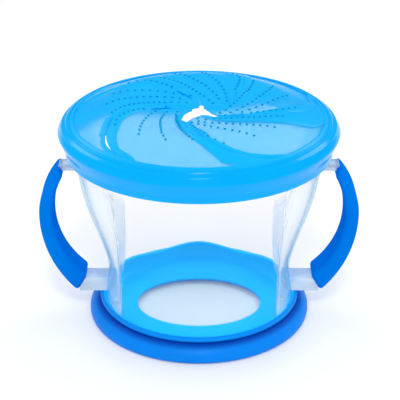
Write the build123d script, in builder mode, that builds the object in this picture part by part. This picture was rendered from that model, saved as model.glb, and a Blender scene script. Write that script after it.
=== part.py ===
"""Toddler snack container: a clear two-handled cup with soft grips and a soft foot, and a
press-on lid whose soft top is cut into five swirled petals that let a small hand in."""
from build123d import *
from math import cos, pi, radians, sin, sqrt, tan
import os

os.makedirs("parts", exist_ok=True)

# ---------------------------------------------------------------- driving dimensions, mm
# The origin is on the table under the middle of the cup, +Z up, a handle on each side in X.

# cup
cup_height = 69.2             # table to the top of the rim
rim_radius = 44.3             # outside of the wall at the rim
base_radius = 34.2            # outside of the wall at the top of the foot's collar
wall = 1.4
floor_thickness = 1.8
floor_corner = 3.2            # round from the wall into the floor
panel_half_width = 27.4       # front and back panels end here, at an upright crease
pinch_depth = 4.1             # how far the sides draw in, for the fingers
pinch_low = 5.0               # the drawn-in sides start and end at these heights
pinch_high = 53.0
pinch_skew = 0.73             # below 1, the waist lies below the middle
section_count = 9
rim_bead = 0.35               # the bead stands out this far from the wall
rim_bead_height = 2.6

# handles
handle_reach = 56.0           # middle line to the outside of the grip
handle_mid = 38.5             # height at which the grip stands out furthest
grip_thickness = 4.9          # there, seen from the front
grip_depth = 11.0             # front to back
grip_round = 1.5
grip_top_rise = 19.2          # each end of the grip: how far above or below handle_mid its
grip_top_inset = 7.6          # outer edge ends, and how far in from where it stands out furthest
grip_top_inner_rise = 15.8    # the same for the inner edge
grip_top_inner_inset = 4.2
grip_low_drop = 29.6
grip_low_inset = 12.4
grip_low_inner_drop = 23.3
grip_low_inner_inset = 11.2
core_cover = 1.3              # soft layer over the clear core of the handle
core_depth = 5.6
upper_arm_height = 56.4
upper_arm_thickness = 2.4
lower_arm_height = 10.9
lower_arm_thickness = 5.2
lower_arm_depth = 8.0
arm_overlap = 3.0             # each arm runs this far into the wall line and into the core

# foot
foot_radius = 40.2
foot_plate = 1.6              # soft layer under the cup's floor
foot_recess = 0.5             # the middle of the foot stays off the table
foot_land = 3.4               # width of the ring that stands on the table
foot_edge = 1.0
crease_height = 5.8
collar_height = 7.8
collar_thickness = 1.3
flare_bulge = 1.6             # the flare is this much narrower where it turns in to the crease
wave_dip = 2.2                # the back of the collar is scalloped: low points below its top
wave_dip_half_span = 16.0     # middle line to each low point
wave_shoulder_drop = 0.8      # second high point, by the panel's crease
wave_shoulder_half_span = 28.5
window_length = 44.8          # oval opening in the foot, under the clear floor
window_width = 34.0

# lid
lid_radius = 48.2
lid_widest_height = 70.9
skirt_radius = 46.6
skirt_height = 63.8           # lower edge of the skirt above the table
skirt_shoulder_height = 66.0
lid_clearance = 0.3           # between the lid and the cup
snap_bead = 0.15              # inward bead at the foot of the skirt
snap_bead_height = 65.0
snap_bead_size = 0.7
crown_radius = 44.2           # outside of the soft top
crown_lip = 0.4               # the rigid crown stands this far over the soft top's edge
crown_flat = 1.0              # level band on the crown before it rounds down
ledge_width = 2.6             # shelf under the edge of the soft top

# soft top
top_centre_height = 77.0
top_bulge_height = 79.7
top_bulge_radius = 28.0
top_edge_height = 74.6
border_thickness = 2.4
web_thickness = 1.2
petal_count = 5
hole_radius = 6.5             # the hole in the middle, where each slit starts
slit_bend_radius = 19.2       # a slit passes these two radii on its way out
slit_waist_radius = 28.8
slit_end_margin = 1.5         # from its outer end to the crown
slit_angles = (-133.0, -103.5, -88.0, -54.0)  # its direction from the middle at those four
petal_gap = 0.6               # across a slit, between two petals
root_gap = 1.0                # across the line on which a petal folds
root_distance = 29.0          # middle of the lid to that line
root_angle = -92.0            # direction of that line's nearest point, for the front petal
fold_height = 79.5            # of that point, just under the top's upper face
fold_slope = 6.0              # degrees by which the line drops, with the dome, to the petal's left
fold_relief = 54.0            # the petal's root slopes this many degrees from upright below it
border_width = 3.6            # thick edge beside each slit

# ---------------------------------------------------------------- worked-out values
floor_bottom = foot_plate
floor_top = floor_bottom + floor_thickness
petal_step = 360 / petal_count
slit_radii = (hole_radius, slit_bend_radius, slit_waist_radius, crown_radius - slit_end_margin)
collar_radius = base_radius + collar_thickness
skirt_bore = rim_radius + rim_bead + lid_clearance + snap_bead
seat_height = cup_height + lid_clearance
grip_inner_reach = handle_reach - grip_thickness
grip_top_outer = (handle_reach - grip_top_inset, handle_mid + grip_top_rise)
grip_top_inner = (grip_inner_reach - grip_top_inner_inset, handle_mid + grip_top_inner_rise)
grip_low_outer = (handle_reach - grip_low_inset, handle_mid - grip_low_drop)
grip_low_inner = (grip_inner_reach - grip_low_inner_inset, handle_mid - grip_low_inner_drop)


def cone_radius(z):
    """Outside radius of the round front and back of the cup at height z."""
    return base_radius + (rim_radius - base_radius) * (z - collar_height) / (cup_height - collar_height)


def pinch(z):
    """How far the side of the cup is drawn in at height z."""
    t = (z - pinch_low) / (pinch_high - pinch_low)
    if t <= 0 or t >= 1:
        return 0.0
    return pinch_depth * sin(pi * t**pinch_skew) ** 2


def polar(radius, angle):
    return (radius * cos(radians(angle)), radius * sin(radians(angle)))


def cup_section(z, inset):
    """One level slice of the cup: round front and back panels, drawn-in sides."""
    radius = cone_radius(z) - inset
    side = radius - pinch(z)
    corner_x = panel_half_width - inset / 2
    corner_y = sqrt(radius**2 - corner_x**2)
    with BuildSketch(Plane.XY.offset(z)) as section:
        with BuildLine():
            ThreePointArc((-corner_x, -corner_y), (0, -radius), (corner_x, -corner_y))
            ThreePointArc((corner_x, -corner_y), (side, 0), (corner_x, corner_y))
            ThreePointArc((corner_x, corner_y), (0, radius), (-corner_x, corner_y))
            ThreePointArc((-corner_x, corner_y), (-side, 0), (-corner_x, -corner_y))
        make_face()
    return section.sketch


def cup_form(low, high, inset):
    """The cup's outside, or its inside where inset is the wall, as one solid."""
    corner = floor_corner - inset
    heights = [pinch_low + (pinch_high - pinch_low) * i / section_count for i in range(section_count + 1)]
    with BuildPart() as form:
        with BuildSketch(Plane.XZ):
            with BuildLine():
                Polyline(
                    (0, low), (cone_radius(low) - inset, low),
                    (cone_radius(pinch_low) - inset, pinch_low), (0, pinch_low), close=True,
                )
            base = make_face()
            fillet(base.vertices().group_by(Axis.Y)[0].sort_by(Axis.X)[-1], corner)
            with BuildLine():
                Polyline(
                    (0, pinch_high), (cone_radius(pinch_high) - inset, pinch_high),
                    (cone_radius(high) - inset, high), (0, high), close=True,
                )
            make_face()
        revolve(axis=Axis.Z)
        loft([cup_section(z, inset) for z in heights])
    return form.part


cup_outside = cup_form(floor_bottom, cup_height, 0)

# ---------------------------------------------------------------- handle outlines, +X side


def crescent():
    """The grip's outline seen from the front, upright where it stands out furthest."""
    outer, inner = (handle_reach, handle_mid), (grip_inner_reach, handle_mid)
    with BuildLine() as outline:
        TangentArc(outer, grip_top_outer, tangent=(0, 1))
        Line(grip_top_outer, grip_top_inner)
        TangentArc(inner, grip_top_inner, tangent=(0, 1))
        TangentArc(inner, grip_low_inner, tangent=(0, -1))
        Line(grip_low_inner, grip_low_outer)
        TangentArc(outer, grip_low_outer, tangent=(0, -1))
    return outline.edges()


with BuildPart() as grip_blank:
    with BuildSketch(Plane.XZ):
        make_face(crescent())
    extrude(amount=grip_depth / 2, both=True)
    fillet(grip_blank.edges().filter_by(Axis.Y, reverse=True), grip_round)

# the clear core that runs inside the grip, and the two arms that join it to the cup
with BuildPart() as core_blank:
    with BuildSketch(Plane.XZ):
        make_face(crescent())
        offset(amount=-core_cover, kind=Kind.INTERSECTION, mode=Mode.REPLACE)
    extrude(amount=core_depth / 2, both=True)
    upper_start = cone_radius(upper_arm_height) - arm_overlap / 2
    upper_end = grip_top_inner[0] + core_cover
    with BuildSketch(Plane.YZ.offset(upper_start)):
        with Locations((0, upper_arm_height)):
            Rectangle(core_depth, upper_arm_thickness)
    extrude(amount=upper_end - upper_start)
    lower_start = cone_radius(lower_arm_height) - pinch(lower_arm_height) - wall / 2
    lower_end = grip_low_inner[0] + arm_overlap
    with BuildSketch(Plane.YZ.offset(lower_start)):
        with Locations((0, lower_arm_height)):
            Rectangle(lower_arm_depth, lower_arm_thickness)
    extrude(amount=lower_end - lower_start)

# ---------------------------------------------------------------- clear cup with its handle cores
cavity = cup_form(floor_top, cup_height + wall, wall)

with BuildPart() as cup_body:
    add(cup_outside)
    with BuildSketch(Plane.XZ):
        with BuildLine():
            bead_low = cup_height - rim_bead_height
            bead_outer = rim_radius + rim_bead
            Polyline(
                (rim_radius - wall / 2, bead_low), (cone_radius(bead_low) - 0.1, bead_low),
                (bead_outer, bead_low + rim_bead), (bead_outer, cup_height - rim_bead),
                (rim_radius, cup_height), (rim_radius - wall / 2, cup_height), close=True,
            )
        make_face()
    revolve(axis=Axis.Z)
    add(core_blank.part)
    mirror(core_blank.part, about=Plane.YZ)
    add(cavity, mode=Mode.SUBTRACT)
cup_body.part.label = "cup_body"
export_step(cup_body.part, "parts/cup_body.step")

# ---------------------------------------------------------------- soft grips over the cores
with BuildPart() as grip_right:
    add(grip_blank.part)
    add(core_blank.part, mode=Mode.SUBTRACT)
grip_right.part.label = "grip_right"
export_step(grip_right.part, "parts/grip_right.step")

with BuildPart() as grip_left:
    mirror(grip_right.part, about=Plane.YZ)
grip_left.part.label = "grip_left"
export_step(grip_left.part, "parts/grip_left.step")

# ---------------------------------------------------------------- soft foot round the cup's base
with BuildPart() as foot_ring:
    with BuildSketch(Plane.XZ):
        with BuildLine():
            land_inner = foot_radius - foot_edge - foot_land
            flare_start = (foot_radius, foot_edge)
            crease = (collar_radius + 0.2, crease_height)
            Polyline(
                (0, foot_recess), (land_inner - foot_recess, foot_recess), (land_inner, 0),
                (foot_radius - foot_edge, 0),
            )
            TangentArc((foot_radius - foot_edge, 0), flare_start, tangent=(1, 0))
            ThreePointArc(flare_start, (foot_radius - flare_bulge, crease_height * 0.62), crease)
            Polyline(
                crease, (collar_radius, crease_height + 0.2), (collar_radius, collar_height - 0.4),
                (collar_radius - 0.4, collar_height), (0, collar_height), (0, foot_recess),
            )
        make_face()
    revolve(axis=Axis.Z)
    add(cup_outside, mode=Mode.SUBTRACT)
    with BuildSketch():
        Ellipse(window_length / 2, window_width / 2)
    extrude(amount=floor_top, mode=Mode.SUBTRACT)
    # the scalloped back: everything above a wavy line comes off, behind the middle
    with BuildSketch(Plane.XZ):
        with BuildLine():
            dip_z, shoulder_z = collar_height - wave_dip, collar_height - wave_shoulder_drop
            half = [(wave_dip_half_span, dip_z), (wave_shoulder_half_span, shoulder_z)]
            Spline(
                *[(-x, z) for x, z in reversed(half)], (0, collar_height), *half,
                tangents=[(1, 0), (1, 0)],
            )
            Polyline(
                half[-1], (foot_radius, shoulder_z), (foot_radius, collar_height + wall),
                (-foot_radius, collar_height + wall), (-foot_radius, shoulder_z), (-half[-1][0], shoulder_z),
            )
        make_face()
    extrude(amount=-foot_radius, mode=Mode.SUBTRACT)
foot_ring.part.label = "foot_ring"
export_step(foot_ring.part, "parts/foot_ring.step")

# ---------------------------------------------------------------- soft top of the lid


def top_disc(drop, thickness):
    """The domed soft top as a whole disc, its upper face lowered by drop."""
    upper = -drop
    lower = -drop - thickness
    with BuildPart() as disc:
        with BuildSketch(Plane.XZ):
            with BuildLine():
                for level in (upper, lower):
                    middle = (0, top_centre_height + level)
                    bulge = (top_bulge_radius, top_bulge_height + level)
                    edge = (crown_radius, top_edge_height + level)
                    Spline(middle, bulge, tangents=[(1, 0), (1, 0)])
                    TangentArc(bulge, edge, tangent=(1, 0))
                Line((0, top_centre_height + upper), (0, top_centre_height + lower))
                Line((crown_radius, top_edge_height + upper), (crown_radius, top_edge_height + lower))
            make_face()
        revolve(axis=Axis.Z)
    return disc.part


def slit_points(turn):
    return [polar(radius, angle + turn) for radius, angle in zip(slit_radii, slit_angles)]


def slit_path(turn):
    """Two arcs, from the hole in the middle out to the crown, for use inside BuildLine."""
    start, bend, waist, end = slit_points(turn)
    inner = ThreePointArc(start, bend, waist)
    TangentArc(waist, end, tangent=inner % 1)


def petal_face(turn, root_radius):
    """One petal with its root strip: between two slits, from the hole out to root_radius."""
    leading, trailing = slit_points(turn - petal_step), slit_points(turn)
    end_angle = slit_angles[-1] + turn
    with BuildSketch() as face:
        with BuildLine():
            slit_path(turn - petal_step)
            slit_path(turn)
            Line(leading[0], trailing[0])
            if root_radius > slit_radii[-1]:
                Line(leading[-1], polar(root_radius, end_angle - petal_step))
                Line(trailing[-1], polar(root_radius, end_angle))
            CenterArc((0, 0), root_radius, end_angle - petal_step, petal_step)
        make_face()
    return face.sketch


def moving_face(turn, fold_distance):
    """The part of a petal that swings: inside the line on which it folds."""
    with BuildSketch() as beyond_fold:
        with Locations(Rot(0, 0, root_angle + turn) * Pos(fold_distance, 0)):
            Rectangle(2 * lid_radius, 4 * lid_radius, align=(Align.MIN, Align.CENTER))
    with BuildSketch() as face:
        add(petal_face(turn, slit_radii[-1]))
        add(beyond_fold.sketch, mode=Mode.SUBTRACT)
    return face.faces().sort_by(SortBy.AREA)[-1]


tall = 2 * top_bulge_height

# the thin web inside a petal's thick borders is relieved from below, out to the crown
with BuildPart() as web_pocket:
    add(top_disc(web_thickness, border_thickness - web_thickness))
    with BuildSketch():
        add(petal_face(0, crown_radius + border_width))
        offset(amount=-border_width, kind=Kind.ARC, mode=Mode.REPLACE)
    extrude(amount=tall, mode=Mode.INTERSECT)

with BuildPart() as petal_blank:
    add(top_disc(0, border_thickness))
    with BuildSketch():
        add(moving_face(0, root_distance - root_gap + petal_gap / 2))
        offset(amount=-petal_gap / 2, kind=Kind.ARC, mode=Mode.REPLACE)
    extrude(amount=tall, mode=Mode.INTERSECT)
    add(web_pocket.part, mode=Mode.SUBTRACT)
    # the underside of the root slopes away from the rim, so that the petal can fold down
    fold_middle = (*polar(root_distance, root_angle), fold_height)
    fold_axis = (*polar(1, root_angle - 90), -tan(radians(fold_slope)))
    across_fold = Plane(fold_middle, x_dir=(*polar(1, root_angle), 0), z_dir=fold_axis)
    with BuildSketch(across_fold):
        with BuildLine():
            slope_drop = 2 * border_thickness
            slope_run = slope_drop * tan(radians(fold_relief))
            Polyline(
                (-root_gap, 0), (0, 0), (0, -slope_drop), (-root_gap - slope_run, -slope_drop), close=True,
            )
        make_face()
    extrude(amount=lid_radius, both=True, mode=Mode.SUBTRACT)

for number in range(petal_count):
    with BuildPart() as petal:
        add(petal_blank.part, rotation=(0, 0, number * petal_step))
    petal.part.label = f"petal_{number + 1}"
    export_step(petal.part, f"parts/petal_{number + 1}.step")

# the fixed part of the soft top, bonded into the crown
with BuildPart() as flap_rim:
    add(top_disc(0, border_thickness))
    with BuildSketch():
        Circle(slit_radii[0])
        for number in range(petal_count):
            add(moving_face(number * petal_step, root_distance))
        for number in range(petal_count):
            with BuildLine() as slit:
                slit_path(number * petal_step)
            trace(slit.line, line_width=petal_gap)
    extrude(amount=tall, mode=Mode.SUBTRACT)
    for number in range(petal_count):
        add(web_pocket.part, rotation=(0, 0, number * petal_step), mode=Mode.SUBTRACT)
flap_rim.part.label = "flap_rim"
export_step(flap_rim.part, "parts/flap_rim.step")

# ---------------------------------------------------------------- rigid lid ring
with BuildPart() as lid_ring:
    with BuildSketch(Plane.XZ):
        with BuildLine():
            ledge_radius = crown_radius - ledge_width
            crown_top = top_edge_height + crown_lip
            Polyline(
                (crown_radius, crown_top), (crown_radius, top_edge_height - web_thickness),
                (ledge_radius, top_edge_height - web_thickness), (ledge_radius, seat_height + wall),
                (ledge_radius + wall, seat_height), (skirt_bore, seat_height),
                (skirt_bore, snap_bead_height + snap_bead_size),
                (skirt_bore - snap_bead, snap_bead_height), (skirt_bore, snap_bead_height - snap_bead_size),
                (skirt_bore, skirt_height), (skirt_radius, skirt_height),
                (skirt_radius, skirt_shoulder_height), (lid_radius, lid_widest_height),
            )
            flat_end = (crown_radius + crown_flat, crown_top)
            Line((crown_radius, crown_top), flat_end)
            TangentArc(flat_end, (lid_radius, lid_widest_height), tangent=(1, 0))
        make_face()
    revolve(axis=Axis.Z)
    add(top_disc(0, border_thickness), mode=Mode.SUBTRACT)
lid_ring.part.label = "lid_ring"
export_step(lid_ring.part, "parts/lid_ring.step")
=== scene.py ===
import bpy
from math import acos, asin, atan2, cos, hypot, pi, radians, sin
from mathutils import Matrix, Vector


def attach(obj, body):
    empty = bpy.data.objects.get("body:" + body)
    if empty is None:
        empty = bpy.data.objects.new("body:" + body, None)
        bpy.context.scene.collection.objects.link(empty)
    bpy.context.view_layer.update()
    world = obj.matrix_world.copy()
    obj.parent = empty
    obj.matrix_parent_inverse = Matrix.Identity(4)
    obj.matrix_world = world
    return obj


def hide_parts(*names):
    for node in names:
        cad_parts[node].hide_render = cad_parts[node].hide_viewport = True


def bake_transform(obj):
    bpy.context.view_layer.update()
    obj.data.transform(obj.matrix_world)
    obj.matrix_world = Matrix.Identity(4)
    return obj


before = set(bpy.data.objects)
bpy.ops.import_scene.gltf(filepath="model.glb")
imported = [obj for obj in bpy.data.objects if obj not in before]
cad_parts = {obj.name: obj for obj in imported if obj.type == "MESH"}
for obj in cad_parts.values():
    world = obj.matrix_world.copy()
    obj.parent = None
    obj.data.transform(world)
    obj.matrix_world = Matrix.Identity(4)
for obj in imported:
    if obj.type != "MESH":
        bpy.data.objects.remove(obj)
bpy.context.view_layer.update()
bpy.ops.object.select_all(action="DESELECT")

MM = 0.001

# ---------------------------------------------------------------- sizes, mm
cup_height, rim_radius, base_radius = 69.2, 44.3, 34.2
wall, floor_bottom, floor_top, floor_corner = 1.4, 1.6, 3.4, 3.2
panel_half_width = 27.4
collar_height, crease_height = 7.8, 5.8
handle_mid = 38.5


# ---------------------------------------------------------------- curves
def smoothstep(t):
    t = min(1.0, max(0.0, t))
    return t * t * (3 - 2 * t)


def along(knots, x):
    """Smooth curve through (x, value) knots in rising x, level beyond the ends."""
    if x <= knots[0][0]:
        return knots[0][1]
    for i in range(len(knots) - 1):
        (x0, a), (x1, b) = knots[i], knots[i + 1]
        if x <= x1:
            before = knots[i - 1] if i else knots[i]
            after = knots[i + 2] if i + 2 < len(knots) else knots[i + 1]
            slope0 = (b - before[1]) / (x1 - before[0])
            slope1 = (after[1] - a) / (after[0] - x0)
            t, span = (x - x0) / (x1 - x0), x1 - x0
            return ((2 * t**3 - 3 * t**2 + 1) * a + (t**3 - 2 * t**2 + t) * slope0 * span
                    + (3 * t**2 - 2 * t**3) * b + (t**3 - t**2) * slope1 * span)
    return knots[-1][1]


# ---------------------------------------------------------------- making pieces
def select_only(piece):
    bpy.ops.object.select_all(action="DESELECT")
    piece.select_set(True)
    bpy.context.view_layer.objects.active = piece


def merge_doubles():
    """Joins the points that lie on one another, in edit mode."""
    bpy.ops.mesh.select_all(action="SELECT")
    bpy.ops.mesh.remove_doubles(threshold=0.005 * MM)


def close_up(piece, angle):
    """Seams merged, faces turned outward, shaded smooth up to an angle in degrees."""
    select_only(piece)
    bpy.ops.object.mode_set(mode="EDIT")
    merge_doubles()
    bpy.ops.mesh.normals_make_consistent(inside=False)
    bpy.ops.object.mode_set(mode="OBJECT")
    bpy.ops.object.shade_smooth_by_angle(angle=radians(angle))
    return piece


def apply_modifiers(piece):
    select_only(piece)
    for modifier in list(piece.modifiers):
        bpy.ops.object.modifier_apply(modifier=modifier.name)


def new_grid(name, columns, rows, place):
    """A sheet of columns by rows points, each put where place(column, row) says, in mm."""
    bpy.ops.mesh.primitive_grid_add(x_subdivisions=columns - 1, y_subdivisions=rows - 1, size=1)
    piece = bpy.context.object
    piece.name = piece.data.name = name
    for vertex in piece.data.vertices:
        column = round((vertex.co.x + 0.5) * (columns - 1))
        row = round((vertex.co.y + 0.5) * (rows - 1))
        vertex.co = [c * MM for c in place(column, row)]
    return piece


def turned(name, profile, angle):
    """A ring: a circle drawn out along the closed profile of (radius, z) points, in mm."""
    radius, z = profile[0]
    bpy.ops.object.select_all(action="DESELECT")
    bpy.ops.mesh.primitive_circle_add(vertices=192, radius=radius * MM, location=(0, 0, z * MM))
    piece = bpy.context.object
    piece.name = piece.data.name = name
    bpy.ops.object.transform_apply(location=True, rotation=False, scale=False)
    bpy.ops.object.mode_set(mode="EDIT")
    bpy.ops.mesh.select_all(action="SELECT")
    for next_radius, next_z in profile[1:] + profile[:1]:
        bpy.ops.mesh.extrude_region_move(TRANSFORM_OT_translate={"value": (0, 0, (next_z - z) * MM)})
        grow = next_radius / radius
        bpy.ops.transform.resize(value=(grow, grow, 1), center_override=(0, 0, 0))
        radius, z = next_radius, next_z
    bpy.ops.object.mode_set(mode="OBJECT")
    return close_up(piece, angle)


def give_attribute(piece, name, values):
    """A value for every point of the piece, for its material to read."""
    piece.data.attributes.new(name, "FLOAT", "POINT").data.foreach_set("value", values)


def finish_piece(piece, material, slot, body, *nodes):
    """Material, body and the CAD nodes that the piece stands for; the slot argument is not used."""
    piece.data.materials.clear()
    piece.data.materials.append(material)
    if body:
        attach(piece, body)
    if nodes:
        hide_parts(*nodes)


# ---------------------------------------------------------------- shader nodes
def feed(tree, socket, source):
    """Sets an input to a value, or links it to the output of another node."""
    if isinstance(source, bpy.types.NodeSocket):
        tree.links.new(source, socket)
    else:
        socket.default_value = source


def add_node(tree, kind, **inputs):
    """A node with its inputs fed, named by their labels with _ for a space."""
    node = tree.nodes.new("ShaderNode" + kind)
    for label, source in inputs.items():
        feed(tree, node.inputs[label.replace("_", " ")], source)
    return node


def add_math(tree, operation, *operands):
    """The result of a math node on numbers or other nodes' outputs."""
    node = tree.nodes.new("ShaderNodeMath")
    node.operation = operation
    for socket, operand in zip(node.inputs, operands):
        feed(tree, socket, operand)
    return node.outputs["Value"]


def map_range(tree, value, start, end, low, high, interpolation="LINEAR"):
    """Goes from low to high while the value goes from start to end."""
    node = tree.nodes.new("ShaderNodeMapRange")
    node.interpolation_type = interpolation
    labels = ("Value", "From Min", "From Max", "To Min", "To Max")
    for label, source in zip(labels, (value, start, end, low, high)):
        feed(tree, node.inputs[label], source)
    return node.outputs["Result"]


def mix_shaders(tree, share, first, second):
    """The first shader goes over to the second as the share goes from 0 to 1."""
    node = add_node(tree, "MixShader", Fac=share)
    feed(tree, node.inputs[1], first)
    feed(tree, node.inputs[2], second)
    return node.outputs["Shader"]


def read_attribute(tree, name):
    """The value that give_attribute left on the piece."""
    node = tree.nodes.new("ShaderNodeAttribute")
    node.attribute_name = name
    return node.outputs["Fac"]


# ---------------------------------------------------------------- materials
def new_material(name, base, roughness, grain_scale, bump, **sockets):
    """Moulded plastic: shade and gloss drift over the piece, with a fine grain in the surface."""
    material = bpy.data.materials.new(name)
    material.use_nodes = True
    tree = material.node_tree
    shader = tree.nodes["Principled BSDF"]
    for label, value in sockets.items():
        shader.inputs[label.replace("_", " ")].default_value = value
    place = add_node(tree, "TexCoord").outputs["Object"]
    drift = add_node(tree, "TexNoise", Scale=38, Detail=3, Vector=place).outputs["Fac"]
    shade = add_node(tree, "ValToRGB", Fac=drift)
    dark, light = shade.color_ramp.elements
    dark.position, light.position = 0.3, 0.7
    dark.color = (*[c * 0.94 for c in base], 1)
    light.color = (*[min(1, c * 1.04) for c in base], 1)
    feed(tree, shader.inputs["Base Color"], shade.outputs["Color"])
    feed(tree, shader.inputs["Roughness"], map_range(tree, drift, 0, 1, roughness * 0.85, roughness * 1.15))
    grain = add_node(tree, "TexNoise", Scale=grain_scale, Vector=place).outputs["Fac"]
    relief = add_node(tree, "Bump", Strength=bump, Distance=0.1 * MM, Height=grain)
    feed(tree, shader.inputs["Normal"], relief.outputs["Normal"])
    return material


def shift_base(material, share, colour):
    """The base colour goes over to another one as the share goes from 0 to 1."""
    tree = material.node_tree
    base_socket = tree.nodes["Principled BSDF"].inputs["Base Color"]
    blend = tree.nodes.new("ShaderNodeMix")
    blend.data_type = "RGBA"
    feed(tree, blend.inputs["Factor"], share)
    feed(tree, blend.inputs["A"], base_socket.links[0].from_socket)
    feed(tree, blend.inputs["B"], (*colour, 1))
    feed(tree, base_socket, blend.outputs["Result"])


def new_clear_plastic():
    """Clear where it is faced, milk-white where it is seen at a slant: there partly real glass and partly a
    painted reflection of the white studio.
    """
    material = new_material("clear plastic", (0.86, 0.94, 1.0), 0.05, 60, 0.15,
                            Transmission_Weight=0.55, IOR=1.22)
    tree = material.node_tree
    facing = add_node(tree, "LayerWeight", Blend=0.5).outputs["Facing"]
    # the painted reflection begins sooner on the drawn-in panels than on the round walls
    panel = read_attribute(tree, "panel")
    start = map_range(tree, panel, 0, 1, 0.6, 0.43)
    end = map_range(tree, panel, 0, 1, 0.88, 0.54)
    slant_glass_and_painted_reflection = map_range(tree, facing, start, end, 0.012, 0.78, "SMOOTHSTEP")
    # the rim is thick enough to show from any side
    solid = add_math(tree, "MAXIMUM", slant_glass_and_painted_reflection, read_attribute(tree, "rim"))
    # most light passes the wall on its way in
    shadow_ray = add_node(tree, "LightPath").outputs["Is Shadow Ray"]
    kept = add_math(tree, "MULTIPLY_ADD", shadow_ray, -0.85, 1.0)
    feed(tree, tree.nodes["Principled BSDF"].inputs["Alpha"], add_math(tree, "MULTIPLY", solid, kept))
    # a fine sea-blue line where the wall is seen edge on, painted light standing in for the blue parts seen
    # bent through the wall's edge
    shift_base(material, map_range(tree, facing, 0.7, 0.86, 0, 1), (0.02, 0.36, 0.56))
    return material


def new_foot_rubber():
    """Lighter and glowing where the foot is thinner and behind, a painted light; darker in the crease under
    the collar, a painted shade.
    """
    material = new_material("foot elastomer", (0.0, 0.23, 0.84), 0.38, 2500, 0.25, Specular_IOR_Level=0.08)
    tree = material.node_tree
    shader = tree.nodes["Principled BSDF"]
    painted_glow = read_attribute(tree, "painted_glow")
    # painted light: the foot goes lighter where it is thinner and behind the cup
    shift_base(material, painted_glow, (0.0, 0.5, 1.0))
    # painted shade: darker blue in the crease under the collar, in front only
    shift_base(material, read_attribute(tree, "crease"), (0.0, 0.05, 0.42))
    # a painted glow where the foot is thinner, standing in for light coming through it from below
    shader.inputs["Emission Color"].default_value = (0.0, 0.45, 1.0, 1)
    feed(tree, shader.inputs["Emission Strength"], add_math(tree, "MULTIPLY", painted_glow, 0.34))
    return material


def new_top_rubber():
    """The attribute "web" is 0 on the petals' thick borders and 1 on their thinner, clearer webs; the webs'
    lighter colour is painted light, weaker on the webs behind.
    """
    material = new_material("top elastomer", (0.0, 0.42, 1.0), 0.28, 2500, 0.15, Specular_IOR_Level=0.12)
    tree = material.node_tree
    web = read_attribute(tree, "web")
    # painted light: the webs go lighter, as if lit through from the cup below
    shift_base(material, web, (0.03, 0.54, 1.0))
    feed(tree, tree.nodes["Principled BSDF"].inputs["Alpha"], map_range(tree, web, 0, 1, 1.0, 0.62))
    return material


clear_plastic = new_clear_plastic()
arm_plastic = new_material("clear arm plastic", (0.78, 0.9, 1.0), 0.2, 60, 0.15,
                           Transmission_Weight=0.55, IOR=1.3)
floor_plastic = new_material("clear floor plastic", (0.6, 0.88, 1.0), 0.03, 60, 0.15,
                             Transmission_Weight=1.0, IOR=1.1, Alpha=0.24)
grip_rubber = new_material("grip elastomer", (0.0, 0.18, 0.72), 0.42, 2500, 0.25, Specular_IOR_Level=0.0)
foot_rubber = new_foot_rubber()
ring_plastic = new_material("lid ring plastic", (0.0, 0.39, 1.0), 0.14, 90, 0.2, Specular_IOR_Level=0.12)
rim_rubber = new_material("lid rim elastomer", (0.0, 0.42, 1.0), 0.3, 2500, 0.15, Specular_IOR_Level=0.12)
nub_rubber = new_material("nub elastomer", (0.0, 0.32, 0.56), 0.4, 2500, 0.1, Specular_IOR_Level=0.05)
top_rubber = new_top_rubber()

# ---------------------------------------------------------------- clear cup
# the sides are drawn in from pinch_start up; a skew below 1 puts the deepest place below the middle
pinch_depth, pinch_start, pinch_length, pinch_skew = 4.1, 5.0, 48.0, 0.73
bead_radius, bead_bottom = 44.65, 66.6
arm_depth = 8.0
wall_rows = 46
floor_shares = [0.0, 0.3, 0.6, 0.8, 0.93]
cup_columns = 4 * 44


def cone_radius(z):
    return base_radius + (rim_radius - base_radius) * (z - collar_height) / (cup_height - collar_height)


def pinch(z):
    """How far the sides are drawn in at this height."""
    t = (z - pinch_start) / pinch_length
    if t <= 0 or t >= 1:
        return 0.0
    return pinch_depth * sin(pi * t**pinch_skew) ** 2


def cup_ring(share, z, inset):
    """A level slice of the cup: round front and back, drawn-in sides. share runs 0 to 1 round it."""
    radius = cone_radius(z) - inset
    side = radius - pinch(z)
    corner_x = panel_half_width - inset / 2
    corner = acos(corner_x / radius)
    panel = min(3, int(share * 4))
    part = share * 4 - panel
    if panel in (0, 2):
        turn = corner + (pi - 2 * corner) * (part if panel == 2 else 1 - part)
        y = radius * sin(turn)
        return radius * cos(turn), y if panel == 2 else -y
    middle = (radius**2 - side**2) / (2 * (corner_x - side))
    reach = side - middle
    half = atan2(radius * sin(corner), corner_x - middle)
    turn = half * (2 * part - 1)
    x, y = middle + reach * cos(turn), reach * sin(turn)
    return (x, y) if panel == 1 else (-x, -y)


def corner_rows(bottom, radius, inset, steps):
    """Rows of (z, inset) round the corner from the wall down to the floor."""
    turns = [pi / 2 * i / steps for i in range(steps + 1)]
    return [(bottom + radius * (1 - sin(t)), inset + radius * (1 - cos(t))) for t in turns]


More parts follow.
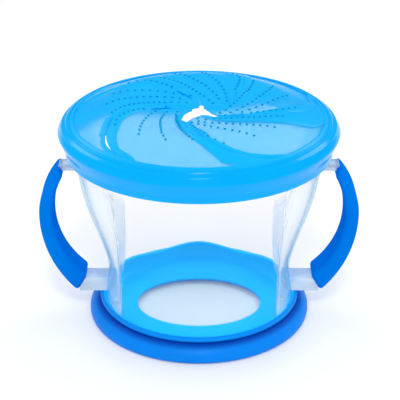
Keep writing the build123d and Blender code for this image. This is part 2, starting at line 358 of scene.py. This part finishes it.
# rows of (z, inset from the cone, share of the way out): inner floor, inner wall, rim, bead, outer wall, base
inside_rows = corner_rows(floor_top, floor_corner - wall, wall, 9)
outside_rows = corner_rows(floor_bottom, floor_corner, 0, 10)
inside_bottom, outside_bottom = inside_rows[0][0], outside_rows[0][0]
wall_inside = [inside_bottom + (cup_height - inside_bottom) * i / wall_rows for i in range(1, wall_rows)]
wall_outside = [bead_bottom - (bead_bottom - outside_bottom) * i / wall_rows for i in range(wall_rows)]
cup_rows = (
    [(*inside_rows[-1], share) for share in floor_shares]
    + [(z, inset, 1.0) for z, inset in reversed(inside_rows)]
    + [(z, wall, 1.0) for z in wall_inside]
    + [(cup_height - 0.3, wall, 1.0), (cup_height, wall - 0.3, 1.0), (cup_height, 0.0, 1.0)]
    + [(z, cone_radius(z) - bead_radius, 1.0) for z in (68.85, 67.9, 66.95)]
    + [(z, 0.0, 1.0) for z in wall_outside]
    + [(z, inset, 1.0) for z, inset in outside_rows]
    + [(*outside_rows[-1], share) for share in reversed(floor_shares)]
)


def place_cup(column, row):
    z, inset, share = cup_rows[row]
    x, y = cup_ring(column / cup_columns, z, inset)
    return x * share, y * share, z


def new_arm(side, start, end, z, thick, depth):
    """A bar from the wall out into a grip, with rounded edges."""
    bpy.ops.mesh.primitive_cube_add(size=1, location=(side * (start + end) / 2 * MM, 0, z * MM))
    arm = bpy.context.object
    bpy.ops.transform.resize(value=((end - start) * MM, depth * MM, thick * MM))
    bpy.ops.object.transform_apply(location=True, rotation=True, scale=True)
    rounding = arm.modifiers.new("round", "BEVEL")
    rounding.width, rounding.segments = 0.5 * MM, 3
    apply_modifiers(arm)
    return arm


def weld(piece, addition):
    """Joins an object to the piece and removes it."""
    union = piece.modifiers.new("weld", "BOOLEAN")
    union.operation, union.solver, union.object = "UNION", "EXACT", addition
    apply_modifiers(piece)
    bpy.data.objects.remove(addition)


cup_shell = close_up(new_grid("cup_shell", cup_columns + 1, len(cup_rows), place_cup), 28)
for side in (1, -1):
    upper_arm = new_arm(side, start=41.2, end=48.6, z=56.4, thick=2.4, depth=5.6)
    lower_arm = new_arm(side, start=32.3, end=42.9, z=10.9, thick=5.2, depth=arm_depth)
    weld(cup_shell, upper_arm)
    weld(cup_shell, lower_arm)
close_up(cup_shell, 28)
finish_piece(cup_shell, clear_plastic, "clear_cup", "cup", "cup_body")

# the rim is half solid, and the panels' look begins at their corners
rim, panels = [], []
for vertex in cup_shell.data.vertices:
    x, y, z = vertex.co / MM
    rim.append(0.5 * smoothstep((z - 66.2) / 1.2))
    panels.append(smoothstep((abs(x) - panel_half_width + 0.6) / 1.2))
give_attribute(cup_shell, "rim", rim)
give_attribute(cup_shell, "panel", panels)

# the level faces near the bottom are the floor, and what stands out from the wall is an arm
cup_shell.data.materials.append(arm_plastic)
cup_shell.data.materials.append(floor_plastic)
arm_index, floor_index = 1, 2
for face in cup_shell.data.polygons:
    x, y, z = face.center / MM
    if z < floor_top + 2 and abs(face.normal.z) > 0.6 and hypot(x, y) < base_radius - 1:
        face.material_index = floor_index
    if hypot(x, y) > cone_radius(z) - pinch(z) + 0.15 and abs(y) < arm_depth / 2 + 0.1 and z < 60:
        face.material_index = arm_index

# ---------------------------------------------------------------- soft grips
grip_depth, grip_rounding = 11.0, 1.5
grip_rise, grip_drop = 19.5, 29.0
grip_columns, grip_steps, cap_steps = 56, 26, 5


def grip_arc(radius, rise):
    """An arc tangent to upright: its radius, and how far it turns to rise that much."""
    return radius, asin(rise / radius)


# outer and inner edge: how far out they reach at handle_mid, and their arcs up and down from there
grip_arcs = {
    "outer": (56.0, grip_arc(28.05, 19.2), grip_arc(41.53, 29.6)),
    "inner": (51.1, grip_arc(31.82, 15.8), grip_arc(29.83, 23.3)),
}


def grip_edge(edge, t):
    """Point (x, z) on an edge arc; t runs from 1 at the top end to -1 at the low end."""
    reach, up, down = grip_arcs[edge]
    radius, turn = up if t > 0 else down
    return reach - radius + radius * cos(turn * t), handle_mid + radius * sin(turn * t)


def grip_half(end, length):
    """Rows of (t, inset) from the middle to one end, which is rounded."""
    turns = [pi / 2 * i / cap_steps for i in range(cap_steps + 1)]
    cap = [(end * (1 - grip_rounding * (1 - sin(t)) / length), grip_rounding * (1 - cos(t))) for t in turns]
    return [(cap[0][0] * i / grip_steps, 0.0) for i in range(grip_steps)] + cap


grip_rows = grip_half(1, grip_rise)[::-1] + grip_half(-1, grip_drop)[1:]


def rounded_box(share, width, depth, corner):
    """Point of a rounded rectangle, share 0 to 1 round it.

    Each quarter is a fifth of flat side, three fifths of corner and a fifth of flat side.
    """
    flat = 0.2
    quarter = min(3, int(share * 4))
    part = share * 4 - quarter
    before, after = max(0.0, 1 - part / flat), max(0.0, (part - 1 + flat) / flat)
    back_x, back_y = (after, before) if quarter in (0, 2) else (before, after)
    side_x, side_y = ((1, 1), (-1, 1), (-1, -1), (1, -1))[quarter]
    turn = pi / 2 * (quarter + min(1.0, max(0.0, (part - flat) / (1 - 2 * flat))))
    x = side_x * (width / 2 - corner) * (1 - back_x) + corner * cos(turn)
    y = side_y * (depth / 2 - corner) * (1 - back_y) + corner * sin(turn)
    return x, y


def new_grip(name, side):
    """A rounded bar between the edge arcs, closed at both ends."""
    def place(column, row):
        t, inset = grip_rows[row]
        outer, inner = grip_edge("outer", t), grip_edge("inner", t)
        step_x, step_z = outer[0] - inner[0], outer[1] - inner[1]
        span = hypot(step_x, step_z)
        corner = min(max(0.05, grip_rounding - inset * 0.97), span / 2 - inset - 0.02)
        out, y = rounded_box(column / grip_columns, span - 2 * inset, grip_depth - 2 * inset, corner)
        share = 0.5 + out / span
        return side * (inner[0] + step_x * share), y, inner[1] + step_z * share

    grip = new_grid(name, grip_columns + 1, len(grip_rows), place)
    bpy.ops.object.mode_set(mode="EDIT")
    merge_doubles()
    bpy.ops.mesh.select_all(action="DESELECT")
    bpy.ops.mesh.select_mode(type="EDGE")
    bpy.ops.mesh.select_non_manifold()
    bpy.ops.mesh.edge_face_add()
    bpy.ops.object.mode_set(mode="OBJECT")
    return close_up(grip, 40)


for name, side in (("grip_right", 1), ("grip_left", -1)):
    finish_piece(new_grip(f"{name}_skin", side), grip_rubber, "soft_grip", "cup", name)

# ---------------------------------------------------------------- soft foot
window_half_width, window_half_depth = 22.4, 17.0
foot_radius, foot_rounding, foot_underside = 39.5, 1.0, 0.5
crease_radius = 35.9
flare_start, flare_end = radians(-4), radians(46)
# the scalloped edge of the collar behind: (mm to the side, height)
scallop = [(0, collar_height), (16, 5.6), (28.5, 7.0), (34.5, collar_height)]
collar_foot = 5.0
# the foot lies this far outside and below the cup
seat_gap, seat_drop = 0.06, 0.04
foot_columns = 192


def window_radius(turn):
    """The oval window's edge, by the turn round the middle."""
    area = window_half_width * window_half_depth
    return area / hypot(window_half_depth * cos(turn), window_half_width * sin(turn))


def collar_top(x, y):
    """The collar is level in front and scalloped behind."""
    if y <= 0:
        return collar_height
    for (start, height), (end, next_height) in zip(scallop, scallop[1:]):
        if abs(x) < end:
            return height + (next_height - height) * smoothstep((abs(x) - start) / (end - start))
    return collar_height


def foot_flare(share):
    """(radius, z) from the edge of the foot up to the crease, along part of an ellipse."""
    turn = flare_start + (flare_end - flare_start) * share
    outward = (cos(turn) - cos(flare_end)) / (cos(flare_start) - cos(flare_end))
    upward = (sin(turn) - sin(flare_start)) / (sin(flare_end) - sin(flare_start))
    radius = crease_radius + (foot_radius - crease_radius) * outward
    return radius, foot_rounding + (crease_height - foot_rounding) * upward


# round the foot's section from the window: (what the size is measured from, size, z)
edge_turns = [pi / 2 * i / 4 for i in range(5)]
edge_points = [(foot_radius - foot_rounding * (1 - sin(t)), foot_rounding * (1 - cos(t))) for t in edge_turns]
collar_points = [(35.2, 5.82), (35.05, 5.9), (35.05, 6.2), (35.3, 6.32), (35.62, 6.36), (35.7, 6.5),
                 (35.7, 7.0), (35.7, 7.45), (35.6, 7.7), (35.3, collar_height), (34.7, collar_height)]
ring_points = (
    [(30.0, foot_underside), (35.3, foot_underside), (35.8, 0.0), (37.5, 0.0)]
    + edge_points
    + [foot_flare(i / 12) for i in range(1, 13)]
    + collar_points
)
foot_loop = (
    [("window", 0.0, 0.9), ("window", 0.4, foot_underside)]
    + [("ring", *point) for point in ring_points]
    + [("cup", -seat_gap, z) for z in (collar_height, 7.2, 6.6, 6.0, 5.4)]
    + [("cup", inset - seat_gap, z - seat_drop) for z, inset in outside_rows]
    + [("window", 4.0, floor_bottom - seat_drop), ("window", 0.0, floor_bottom - seat_drop)]
    + [("window", 0.0, 0.9)]
)


def place_foot(column, row):
    kind, size, z = foot_loop[row]
    turn = 2 * pi * column / foot_columns
    radius = {"window": window_radius(turn) + size, "ring": size, "cup": cone_radius(z) - size}[kind]
    x, y = radius * cos(turn), radius * sin(turn)
    if z > collar_foot:
        stretch = (collar_top(x, y) - collar_foot) / (collar_height - collar_foot)
        z = collar_foot + (z - collar_foot) * stretch
    return x, y, z


foot = close_up(new_grid("foot_skin", foot_columns + 1, len(foot_loop), place_foot), 40)
finish_piece(foot, foot_rubber, "soft_foot", "cup", "foot_ring")
# painted glow and lighter colour under the cup's floor and behind, a little at the collar top; painted shade
# in the crease in front
painted_glow, crease = [], []
for vertex in foot.data.vertices:
    x, y, z = vertex.co / MM
    inside = z > 0.9 and hypot(x, y) < cone_radius(z) + 0.1
    # painted light: the collar behind the cup is made lighter by where it stands
    behind = smoothstep((y - 7) / 13) if z > 4.9 else 0.0
    painted_glow.append(1.0 if inside else max(behind, 0.1 if z > 6.33 else 0.0))
    # painted shade: the crease darkens round z 5.7 and fades out behind
    crease.append(0.0 if inside else max(0.0, 1 - abs(z - 5.7) / 1.3) * smoothstep((4 - y) / 10))
give_attribute(foot, "painted_glow", painted_glow)
give_attribute(foot, "crease", crease)

# ---------------------------------------------------------------- lid ring
# (radius, z) round the section: crown with its ledge, skirt, the ridge inside the skirt, and the inner side
# with the soft top's seat
crown = [(44.2, 74.3), (44.3, 74.45), (44.5, 74.5), (44.85, 74.48), (45.1, 74.42), (45.3, 74.28),
         (45.42, 74.1), (45.5, 73.95), (45.7, 73.8), (46.1, 73.58), (46.5, 73.38), (46.8, 73.22),
         (47.0, 73.05), (47.12, 72.85), (47.2, 72.65), (47.35, 72.4), (47.65, 71.95), (47.95, 71.4),
         (48.15, 71.0), (48.25, 70.7)]
skirt = [(48.2, 70.4), (47.95, 69.7), (47.55, 68.7), (47.2, 67.9), (46.85, 67.1), (46.55, 66.3),
         (46.35, 65.5), (46.25, 64.6), (46.2, 64.1), (46.1, 63.8), (45.9, 63.7), (45.35, 63.7)]
ridge = [(45.25, 63.9), (45.25, 64.5), (45.1, 65.0), (45.25, 65.6)]
inner_side = [(45.25, 67.0), (45.25, 69.3), (45.05, 69.5), (43.2, 69.5), (42.9, 69.6), (41.6, 70.9),
              (41.6, 73.0), (41.75, 73.1), (44.0, 73.1), (44.2, 73.2)]
lid_ring = turned("lid_ring_skin", crown + skirt + ridge + inner_side, 32)
finish_piece(lid_ring, ring_plastic, "lid_ring", "lid", "lid_ring")

# ---------------------------------------------------------------- fixed rim of the soft top
rim_profile = [(44.2, 74.35), (44.05, 74.45), (43.7, 74.68), (43.2, 74.95), (42.95, 75.03), (42.8, 74.95),
               (42.75, 74.7), (42.75, 73.6), (42.9, 73.45), (44.1, 73.45), (44.2, 73.6)]
top_rim = turned("soft_top_rim", rim_profile, 50)
finish_piece(top_rim, rim_rubber, "soft_top", "lid", "flap_rim")

# ---------------------------------------------------------------- petals of the soft top
# every list of knots here goes by the distance from the middle, but for the tips
root_radius = 43.3
top_thickness, tip_share = 1.2, 0.33
web_drop, edge_drop = 0.35, 0.22
# how wide the step is from a border down to the web, and where it starts on the border
step_width, step_start = 0.9, 0.5
cut_gap, gape = 0.02, 0.5
petal_rows = 84

# height of the borders' upper face: a dimple in the middle, a dome round it
dome = [(0, 77.0), (5, 77.1), (10, 77.6), (18, 78.9), (24, 79.5), (28, 79.55), (31, 79.1), (33, 78.55),
        (36, 77.45), (40, 75.9), (44.2, 74.4)]
# angle of the first slit, in degrees
slit_curve = [(2.0, -137), (6.0, -130), (9.6, -125), (14.4, -112), (19.2, -103), (25.0, -93), (28.8, -88),
              (32.6, -82), (36.5, -74.5), (40.3, -65), (41.8, -58), (42.7, -54), (root_radius, -52)]
# width of the thick border along each petal's two slits
leading_borders = [[(6, 2.4), (16, 2.4), (25, 3.8), (31.2, 5.8), (35.4, 6.3), (38.6, 6.4), (39.8, 6.8),
                    (40.6, 9), (41.4, 8.6), (43.6, 4.4), (44.2, 3.6)]] * 5
leading_borders[1] = [(6, 2.4), (16, 2.8), (26, 2.4), (31, 2.7), (34, 3), (38, 3.4), (40.4, 4.6), (44.2, 3)]
trailing_borders = [[(6, 2.4), (16, 3), (28, 3.4), (34.6, 5), (38.8, 8.4), (42, 13.6), (44.2, 16)]] * 5
trailing_borders[1] = [(6, 2.4), (12, 3.4), (20.4, 6.2), (27.4, 8.6), (33.6, 10.6), (38.5, 15), (42, 20),
                       (44.2, 22)]
trailing_borders[4] = [(6, 2.4), (16, 4.4), (21.6, 4.8), (27.1, 4), (31.1, 2.6), (35.4, 2), (39, 2.8),
                       (41.6, 5.6), (44.2, 8)]
# (share of the way across, distance from the middle) along the tip of each petal
tips = [
    [(0, 2.4), (0.54, 2.4), (0.7, 3.7), (0.82, 5.5), (0.95, 8), (1, 9)],
    [(0, 12.5), (0.07, 14.6), (0.15, 12.6), (0.22, 10.4), (0.28, 8.4), (0.41, 6.2), (0.67, 5.2), (0.89, 5.7),
     (1, 6.6)],
    [(0, 8.5), (0.08, 9.8), (0.17, 9), (0.35, 5.3), (0.76, 2.9), (1, 2.5)],
    [(0, 2.5), (0.61, 2.5), (0.84, 4.3), (0.95, 4.8), (1, 4.4)],
    [(0, 4.2), (0.07, 3.7), (0.18, 2.3), (0.84, 2.3), (1, 2.4)],
]
# columns across a petal: (what they are measured from, mm from it or share of the border or web)
petal_columns = (
    [("lead", d) for d in (0.0, 0.12, 0.3, 0.6)]
    + [("lead share", s) for s in (0.4, 0.6, 0.8)]
    + [("lead edge", d) for d in (-0.5, -0.3, -0.1, 0.15, 0.4)]
    + [("web", i / 22) for i in range(1, 22)]
    + [("trail edge", d) for d in (0.4, 0.15, -0.1, -0.3, -0.5)]
    + [("trail share", s) for s in (0.8, 0.6, 0.4)]
    + [("trail", d) for d in (0.6, 0.3, 0.12, 0.0)]
)


def arc_across(radius):
    """Length of the arc across one petal."""
    return radius * radians(72)


def fineness(radius):
    """Small sizes across a petal shrink near its tip."""
    return min(1.0, arc_across(radius) / 12)


def slit_gap(petal, radius, trailing):
    """Half the slit's opening: a cut, but one slit gapes near the crown."""
    gap = cut_gap
    if (petal, trailing) in ((4, True), (0, False)):
        gap += gape * smoothstep((radius - 34) / 5) * smoothstep((42.6 - radius) / 2.5)
    return gap * smoothstep((43.0 - radius) / 0.4)


def border_widths(petal, radius):
    """Widths of the leading and trailing border, which leave a fifth of the petal to the web."""
    lead, trail = along(leading_borders[petal], radius), along(trailing_borders[petal], radius)
    scale = min(1.0, 0.8 * arc_across(radius) / (lead + trail))
    return lead * scale, trail * scale


def column_place(petal, kind, amount, radius):
    """How far a column lies from the leading slit, in mm along the arc."""
    arc, fine = arc_across(radius), fineness(radius)
    lead, trail = border_widths(petal, radius)
    return {
        "lead": amount * fine + slit_gap(petal, radius, False),
        "trail": arc - amount * fine - slit_gap(petal, radius, True),
        "lead share": lead * amount,
        "trail share": arc - trail * amount,
        "lead edge": lead + amount * fine,
        "trail edge": arc - trail - amount * fine,
        "web": lead + 0.4 * fine + (arc - lead - trail - 0.8 * fine) * amount,
    }[kind]


def tip_radius(petal, kind, amount):
    """How far out a column begins: where it crosses the tip's outline, found by better and better guesses."""
    radius = 5.0
    for _ in range(24):
        share = column_place(petal, kind, amount, radius) / arc_across(radius)
        radius = 0.6 * radius + 0.4 * along(tips[petal], share)
    return radius


column_starts = [[tip_radius(petal, *column) for column in petal_columns] for petal in range(5)]


def petal_point(petal, column, row):
    """Place of a point on the upper face, and how much of it is web."""
    start = column_starts[petal][column]
    radius = start + (root_radius - start) * row / (petal_rows - 1)
    place = column_place(petal, *petal_columns[column], radius)
    lead, trail = border_widths(petal, radius)
    arc, fine = arc_across(radius), fineness(radius)
    from_border = min(place - lead, arc - trail - place) / fine
    web = smoothstep((from_border + step_start) / step_width) * smoothstep((arc - lead - trail - 0.6) / 2)
    from_slit = min(place, arc - place) / fine
    edge = edge_drop * (1 - smoothstep(from_slit / 0.75)) ** 2
    turn = radians(along(slit_curve, radius) + 72 * (petal - 1)) + place / radius
    x, y = radius * cos(turn), radius * sin(turn)
    z = along(dome, radius) - web_drop * web - edge
    # painted light and shade: the webs in front are lighter and more see-through, those behind darker and
    # less see-through
    return (x, y, z), web * (0.04 + 0.96 * smoothstep((3 - y + 0.2 * x) / 10))


def new_flap(petal, name):
    """A petal: its upper face, thickened downward, thinner at the tip."""
    columns = len(petal_columns)
    points = [petal_point(petal, column, row) for row in range(petal_rows) for column in range(columns)]
    flap = new_grid(name, columns, petal_rows, lambda column, row: points[row * columns + column][0])
    give_attribute(flap, "web", [web for place, web in points])
    thickness = flap.vertex_groups.new(name="thickness")
    for vertex in flap.data.vertices:
        radius = hypot(vertex.co.x, vertex.co.y) / MM
        thickness.add([vertex.index], tip_share + (1 - tip_share) * smoothstep((radius - 7) / 10), "REPLACE")
    thick = flap.modifiers.new("thick", "SOLIDIFY")
    thick.thickness, thick.offset, thick.vertex_group = top_thickness * MM, 1, thickness.name
    apply_modifiers(flap)
    return close_up(flap, 50)


nub_radius = 0.45
# rows of small nubs over each petal: (distance from the middle, angle) along the row, and how many
nub_curves = [
    ([(7.6, -165), (10.4, -137), (13.8, -123), (18.3, -112), (22.0, -106), (26.0, -100), (30.0, -94)], 15),
    ([(11.3, -163), (15.4, -143), (20.3, -129), (24.2, -121), (27.5, -116), (31.3, -110)], 12),
    ([(11.3, -183), (15.6, -162), (20.3, -148), (25.0, -138), (29.0, -131.5), (31.6, -128)], 11),
    ([(19.1, -168), (23.1, -163), (28.8, -156), (32.5, -148)], 8),
]


def nub_place(petal, radius, past_slit):
    """Where a nub sits on the petal's upper face, by its angle past the leading slit."""
    place = radius * radians(past_slit)
    lead, trail = along(leading_borders[petal], radius), along(trailing_borders[petal], radius)
    from_border = min(place - lead, arc_across(radius) - trail - place)
    z = along(dome, radius) - web_drop * smoothstep((from_border + step_start) / step_width)
    turn = radians(along(slit_curve, radius) + 72 * (petal - 1) + past_slit)
    return radius * cos(turn), radius * sin(turn), z


def new_nubs(petal, name):
    """The petal's nubs in one piece, but for those that would hang over its tip."""
    bpy.ops.object.select_all(action="DESELECT")
    bpy.ops.object.add(type="MESH", location=(0, 0, 0))
    nubs = bpy.context.object
    nubs.name = nubs.data.name = name
    bpy.ops.object.mode_set(mode="EDIT")
    for curve, amount in nub_curves:
        first, last = curve[0][0], curve[-1][0]
        for i in range(amount):
            radius = first + (last - first) * i / (amount - 1)
            past_slit = along(curve, radius) - along(slit_curve, radius) + 72
            if radius >= along(tips[petal], past_slit / 72) + 1:
                spot = [c * MM for c in nub_place(petal, radius, past_slit)]
                bpy.ops.mesh.primitive_uv_sphere_add(segments=10, ring_count=6, radius=nub_radius * MM,
                                                     location=spot)
    bpy.ops.object.mode_set(mode="OBJECT")
    return close_up(nubs, 60)


for petal in range(5):
    number = petal + 1
    flap = new_flap(petal, f"petal_{number}_skin")
    finish_piece(flap, top_rubber, "soft_top", None, f"petal_{number}")
    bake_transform(flap)
    nubs = new_nubs(petal, f"petal_{number}_nubs")
    finish_piece(nubs, nub_rubber, "soft_top", None)
    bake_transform(nubs)


# ---------------------------------------------------------------- table
def new_table_white():
    """White paper: the object's shadow shows near it, and the far table is as white as the studio."""
    material = bpy.data.materials.new("white table")
    material.use_nodes = True
    tree = material.node_tree
    shader = tree.nodes["Principled BSDF"]
    shader.inputs["Base Color"].default_value = (0.98, 0.98, 0.98, 1)
    shader.inputs["Roughness"].default_value = 0.7
    shader.inputs["Specular IOR Level"].default_value = 0.1
    distance = tree.nodes.new("ShaderNodeVectorMath")
    distance.operation = "LENGTH"
    feed(tree, distance.inputs[0], add_node(tree, "TexCoord").outputs["Object"])
    far = map_range(tree, distance.outputs["Value"], 0.1, 0.4, 0.12, 1.0)
    seen = add_math(tree, "MULTIPLY", add_node(tree, "LightPath").outputs["Is Camera Ray"], far)
    paper = add_node(tree, "Emission").outputs["Emission"]
    surface = mix_shaders(tree, seen, shader.outputs["BSDF"], paper)
    feed(tree, tree.nodes["Material Output"].inputs["Surface"], surface)
    return material


bpy.ops.mesh.primitive_circle_add(vertices=96, radius=1.6, fill_type="NGON", location=(0, 0, -0.2 * MM))
table_top = bpy.context.object
table_top.name = "table_top"
table_top.data.materials.append(new_table_white())


# ---------------------------------------------------------------- light
def new_studio():
    """White all round, seen a little brighter than it lights, and a faint blue in reflections."""
    world = bpy.data.worlds.new("studio")
    world.use_nodes = True
    tree = world.node_tree
    light = tree.nodes["Background"]
    light.inputs["Color"].default_value = (1, 1, 1, 1)
    light.inputs["Strength"].default_value = 0.85
    seen = add_node(tree, "Background", Color=(1, 1, 1, 1), Strength=1.0)
    gleam = add_node(tree, "Background", Color=(0.2, 0.65, 1, 1), Strength=0.4)
    path = add_node(tree, "LightPath").outputs
    unlit = mix_shaders(tree, path["Is Glossy Ray"], light.outputs["Background"], gleam.outputs["Background"])
    direct = add_math(tree, "MAXIMUM", path["Is Camera Ray"], path["Is Transmission Ray"])
    surface = mix_shaders(tree, direct, unlit, seen.outputs["Background"])
    feed(tree, tree.nodes["World Output"].inputs["Surface"], surface)
    return world


def area_lamp(name, place, size, power):
    """A round lamp that faces the object's middle."""
    lamp = bpy.data.lights.new(name, "AREA")
    lamp.shape, lamp.size, lamp.energy = "DISK", size, power
    holder = bpy.data.objects.new(name, lamp)
    bpy.context.collection.objects.link(holder)
    holder.location = place
    holder.rotation_euler = (Vector((0, 0, 0.05)) - Vector(place)).to_track_quat("-Z", "Y").to_euler()


bpy.context.scene.world = new_studio()
area_lamp("right lamp", (0.75, 0.65, 0.8), 0.5, 2.6)
area_lamp("left lamp", (-0.75, 0.65, 0.8), 0.5, 2.2)
area_lamp("front lamp", (0.02, -0.62, 0.75), 0.2, 2.4)

# ---------------------------------------------------------------- camera
camera = bpy.data.cameras.new("camera")
camera.lens, camera.sensor_width, camera.shift_x = 117, 36, 0.0025
camera.clip_start, camera.clip_end = 0.01, 10
holder = bpy.data.objects.new("camera", camera)
bpy.context.collection.objects.link(holder)
holder.location = (0, -0.4109, 0.2433)
holder.rotation_euler = (radians(63.99), 0, 0)
bpy.context.scene.camera = holder
bpy.context.scene.view_settings.view_transform = "Standard"
